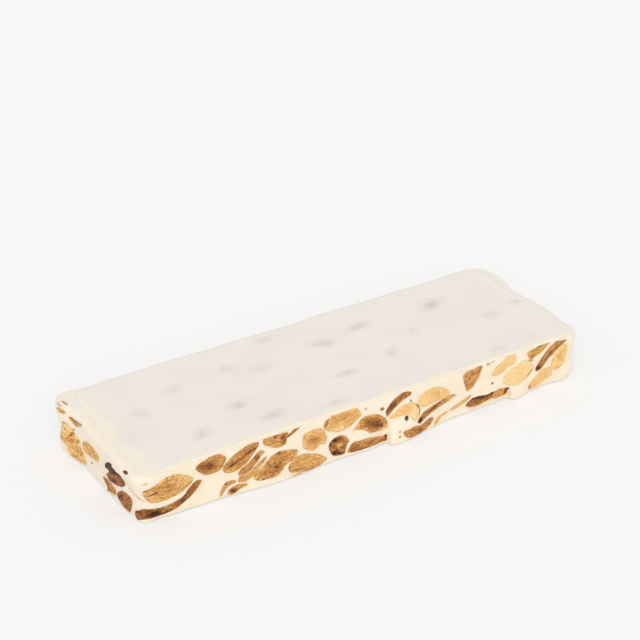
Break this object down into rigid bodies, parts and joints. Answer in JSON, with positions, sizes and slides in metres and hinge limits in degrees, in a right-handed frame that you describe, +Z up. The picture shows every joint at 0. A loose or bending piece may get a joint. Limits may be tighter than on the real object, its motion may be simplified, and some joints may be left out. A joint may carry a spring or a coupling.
{
  "type": "nougat bar",
  "caption": "Long slab of pale hard nougat with whole almonds cut open along its sides, lying between two thin wafer sheets.",
  "frame": {"origin": "on the ground, under the middle of the bar's box", "axes": "+X along the bar's length, +Y from the front cut side to the back, +Z up through the wafer sheets"},
  "size_m": [0.2034, 0.073, 0.0214],
  "materials": {
    "nougat": "satin",
    "almond": "matte",
    "wafer": "matte"
  },
  "bodies": {
    "root": {"almond_front_01": "almond", "almond_front_02": "almond", "almond_front_03": "almond", "almond_front_04": "almond", "almond_front_05": "almond", "almond_front_06": "almond", "almond_front_07": "almond", "almond_front_08": "almond", "almond_front_09": "almond", "almond_front_10": "almond", "almond_front_11": "almond", "almond_front_12": "almond", "almond_front_13": "almond", "almond_front_14": "almond", "almond_front_15": "almond", "almond_front_16": "almond", "almond_front_17": "almond", "almond_front_18": "almond", "almond_front_19": "almond", "almond_front_20": "almond", "almond_front_21": "almond", "almond_front_22": "almond", "almond_front_23": "almond", "almond_front_24": "almond", "almond_front_25": "almond", "almond_front_26": "almond", "almond_front_27": "almond", "almond_front_28": "almond", "almond_front_29": "almond", "almond_front_30": "almond", "almond_front_31": "almond", "almond_left_01": "almond", "almond_left_02": "almond", "almond_left_03": "almond", "almond_left_04": "almond", "almond_left_05": "almond", "almond_left_06": "almond", "almond_back_01": "almond", "almond_back_02": "almond", "almond_back_03": "almond", "almond_back_04": "almond", "almond_back_05": "almond", "almond_back_06": "almond", "almond_back_07": "almond", "almond_back_08": "almond", "almond_back_09": "almond", "almond_back_10": "almond", "almond_back_11": "almond", "almond_back_12": "almond", "almond_back_13": "almond", "almond_back_14": "almond", "almond_right_01": "almond", "almond_right_02": "almond", "almond_right_03": "almond", "almond_right_04": "almond", "almond_right_05": "almond", "nougat": "nougat", "wafer_bottom": "wafer", "wafer_top": "wafer"}
  },
  "joints": []
}
